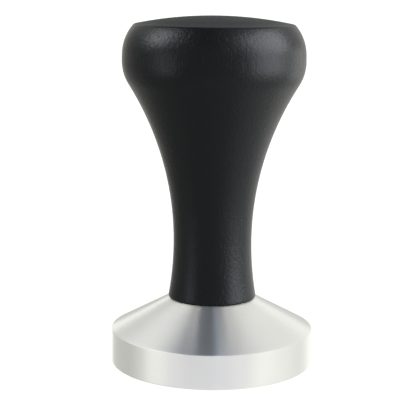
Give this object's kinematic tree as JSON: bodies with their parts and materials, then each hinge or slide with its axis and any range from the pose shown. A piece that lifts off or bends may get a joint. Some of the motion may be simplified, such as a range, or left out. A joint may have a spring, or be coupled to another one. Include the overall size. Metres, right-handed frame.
{
  "type": "espresso tamper",
  "caption": "Espresso tamper: a turned aluminium base with a flat tamping face and coned top, and a waisted wooden handle with a domed head that screws onto it.",
  "frame": {"origin": "centre of the flat tamping face, which is the underside of the base", "axes": "+Z is the common axis of base and handle, up out of the base; X and Y are free because every outside shape is turned"},
  "size_m": [0.051, 0.051, 0.0872],
  "materials": {
    "base_metal": "turned, fine satin, clear anodised",
    "handle_lacquer": "hardwood with black satin lacquer",
    "insert_brass": "machined",
    "stud_steel": "zinc plated",
    "ring_rubber": "matt"
  },
  "bodies": {
    "base": {"base": "base_metal"},
    "ring": {"sealing_ring": "ring_rubber"},
    "handle": {"handle": "handle_lacquer", "threaded_insert": "insert_brass", "stud": "stud_steel"}
  },
  "joints": [
    {"name": "handle_lift", "type": "slide", "parent": "base", "child": "ring", "axis": [0, 0, 1], "range_m": [0, 0.01]},
    {"name": "handle_turn", "type": "hinge", "parent": "ring", "child": "handle", "pos_m": [0, 0, 0.0167], "axis": [0, 0, 1], "range_deg": [0, 2880]}
  ],
  "couplings": [
    {"joint": "handle_lift", "follows": "handle_turn", "m_per_rad": 0.00019894}
  ]
}
